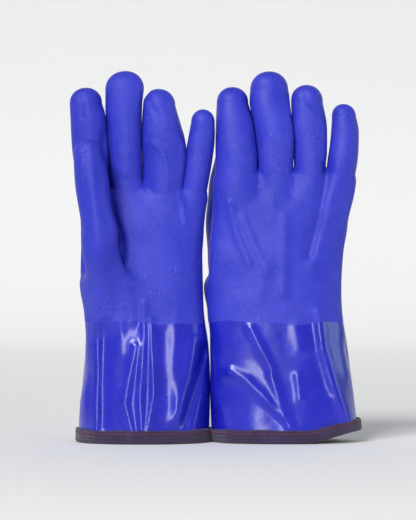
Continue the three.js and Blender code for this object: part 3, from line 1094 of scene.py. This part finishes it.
def stitch_tree(thread):
    """Lays one short stitch at each even step along a closed line of thread."""
    tree = bpy.data.node_groups.new("hem_stitches", "GeometryNodeTree")
    tree.interface.new_socket("Geometry", in_out="INPUT", socket_type="NodeSocketGeometry")
    for label, value in (("Pitch", STITCH_PITCH * MM), ("Length", 2.5 * MM), ("Radius", 0.38 * MM)):
        socket = tree.interface.new_socket(label, in_out="INPUT", socket_type="NodeSocketFloat")
        socket.default_value = value
    tree.interface.new_socket("Geometry", in_out="OUTPUT", socket_type="NodeSocketGeometry")
    nodes, links = tree.nodes, tree.links
    given, result = nodes.new("NodeGroupInput"), nodes.new("NodeGroupOutput")
    curve = nodes.new("GeometryNodeMeshToCurve")
    links.new(given.outputs["Geometry"], curve.inputs["Mesh"])
    resample = node(nodes, "GeometryNodeCurveToPoints", mode="LENGTH")
    links.new(curve.outputs["Curve"], resample.inputs["Curve"])
    links.new(given.outputs["Pitch"], resample.inputs["Length"])
    ball = nodes.new("GeometryNodeMeshUVSphere")
    ball.inputs["Segments"].default_value = 8
    ball.inputs["Rings"].default_value = 6
    links.new(given.outputs["Radius"], ball.inputs["Radius"])
    stretch = nodes.new("GeometryNodeTransform")
    half = node(nodes, "ShaderNodeMath", operation="DIVIDE")
    links.new(given.outputs["Length"], half.inputs[0])
    twice = node(nodes, "ShaderNodeMath", operation="MULTIPLY")
    links.new(given.outputs["Radius"], twice.inputs[0])
    twice.inputs[1].default_value = 2.0
    links.new(twice.outputs[0], half.inputs[1])
    scale = nodes.new("ShaderNodeCombineXYZ")
    scale.inputs["X"].default_value = 1.0
    scale.inputs["Y"].default_value = 1.0
    links.new(half.outputs[0], scale.inputs["Z"])
    links.new(ball.outputs["Mesh"], stretch.inputs["Geometry"])
    links.new(scale.outputs["Vector"], stretch.inputs["Scale"])
    place = nodes.new("GeometryNodeInstanceOnPoints")
    links.new(resample.outputs["Points"], place.inputs["Points"])
    links.new(stretch.outputs["Geometry"], place.inputs["Instance"])
    links.new(resample.outputs["Rotation"], place.inputs["Rotation"])
    real = nodes.new("GeometryNodeRealizeInstances")
    links.new(place.outputs["Instances"], real.inputs["Geometry"])
    finish = nodes.new("GeometryNodeSetMaterial")
    finish.inputs["Material"].default_value = thread
    links.new(real.outputs["Geometry"], finish.inputs["Geometry"])
    links.new(finish.outputs["Geometry"], result.inputs["Geometry"])
    return tree


def stitches(glove, tree):
    """The hem's row of stitches, outside and inside, as one plain mesh."""
    lift = np.vectorize(hem_lift(glove))
    points, edges = [], []
    for level in (TAPE_OUT + TAPE_THICK / 2 + 0.1, TAPE_IN - TAPE_THICK / 2 - 0.1):
        x, y = hem_line(glove, level, THREAD_HEIGHT)
        z = THREAD_HEIGHT + lift(x, y) * (1 - THREAD_HEIGHT / FROST_LINE)
        first = len(points)
        points += (np.stack([x, y, z], axis=1) * MM).tolist()
        edges += [(first + k, first + (k + 1) % HEM_STEPS) for k in range(HEM_STEPS)]
    line = bpy.data.meshes.new("thread_line")
    line.from_pydata(points, edges, [])
    base = in_scene("thread_line", line)
    modifier = base.modifiers.new("stitches", "NODES")
    modifier.node_group = tree
    sockets = {s.name: s.identifier for s in tree.interface.items_tree if s.in_out == "INPUT"}
    modifier[sockets["Pitch"]] = STITCH_PITCH * MM
    modifier[sockets["Length"]] = 0.72 * STITCH_PITCH * MM
    modifier[sockets["Radius"]] = 0.4 * MM
    evaluated = base.evaluated_get(bpy.context.evaluated_depsgraph_get())
    mesh = bpy.data.meshes.new_from_object(evaluated)
    mesh.name = f"{glove}_hem_stitches"
    mesh.polygons.foreach_set("use_smooth", [True] * len(mesh.polygons))
    bpy.data.objects.remove(base)
    return in_scene(f"{glove}_hem_stitches", mesh)


binding_tape = make_tape()
binding_thread = make_thread()
hem_stitches = stitch_tree(binding_thread)
for glove in SIDE:
    tape = tape_mesh(glove)
    tape.data.materials.append(binding_tape)
    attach(tape, f"{glove}_cuff")
    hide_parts(f"{glove}_hem_binding")
    seam = stitches(glove, hem_stitches)
    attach(seam, f"{glove}_cuff")
    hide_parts(f"{glove}_binding_thread")


# ---- Floor, light and camera -----------------------------------------------------------------
def pale_stage():
    """A paper floor that sweeps up into a wall, well behind the gloves."""
    mesh = bpy.data.meshes.new("floor")
    turn = np.linspace(0.1, math.pi / 2, 14)
    profile = [(-6.0, 0.0), (0.0, 0.0), (2.2, 0.0)]
    profile += [(2.2 + 0.5 * math.sin(a), 0.5 - 0.5 * math.cos(a)) for a in turn]
    profile += [(2.7, 3.0)]
    points = [(x, y, z) for y, z in profile for x in (-6, 6)]
    faces = [(2 * i, 2 * i + 1, 2 * i + 3, 2 * i + 2) for i in range(len(profile) - 1)]
    mesh.from_pydata(points, [], faces)
    mesh.polygons.foreach_set("use_smooth", [True] * len(mesh.polygons))
    floor = in_scene("floor", mesh)
    paper, nodes, _ = material("pale_paper")
    nodes["Principled BSDF"].inputs["Base Color"].default_value = linear(240, 240, 239)
    nodes["Principled BSDF"].inputs["Roughness"].default_value = 0.95
    nodes["Principled BSDF"].inputs["Specular IOR Level"].default_value = 0.1
    mesh.materials.append(paper)


def soft_light(name, place, aim, size, power, tint=(1, 1, 1)):
    light = bpy.data.lights.new(name, "AREA")
    light.shape = "RECTANGLE"
    light.size, light.size_y = size
    light.energy = power
    light.color = tint
    obj = in_scene(name, light)
    obj.location = place
    obj.rotation_euler = (Vector(aim) - Vector(place)).to_track_quat("-Z", "Y").to_euler()


KEY_POWER = 1.95
KEY_SOFTNESS = math.radians(24)
KEY_WAY = Vector((0.42, 0.72, -0.66))
ROOM_POWER = 0.31

pale_stage()
sun = bpy.data.lights.new("key_light", "SUN")
sun.energy = KEY_POWER
sun.angle = KEY_SOFTNESS
in_scene("key_light", sun).rotation_euler = KEY_WAY.to_track_quat("-Z", "Y").to_euler()
soft_light("strip_light", (-0.24, -1.5, 0.45), (0, 0, 0.1), (0.2, 0.9), 6.5)
soft_light("side_light", (1.5, -0.3, 0.5), (0, 0, 0.15), (0.4, 1.0), 3.0, (0.8, 0.92, 1.0))
world = bpy.data.worlds.new("soft_room")
world.use_nodes = True
room = world.node_tree.nodes["Background"].inputs
room["Color"].default_value = (0.95, 0.97, 1.0, 1)
room["Strength"].default_value = ROOM_POWER
bpy.context.scene.world = world
bpy.context.scene.view_settings.view_transform = "Standard"

VIEW_HEIGHT = 0.421  # what the frame spans at the gloves
CAMERA_DISTANCE = 2.0
CAMERA_HEIGHT = 0.1468
camera = bpy.data.cameras.new("camera")
camera.sensor_fit = "VERTICAL"
camera.sensor_height = 24
camera.lens = camera.sensor_height * CAMERA_DISTANCE / VIEW_HEIGHT
camera_obj = in_scene("camera", camera)
camera_obj.location = (BETWEEN * MM, -CAMERA_DISTANCE, CAMERA_HEIGHT)
camera_obj.rotation_euler = (math.pi / 2, 0, 0)
bpy.context.scene.camera = camera_obj
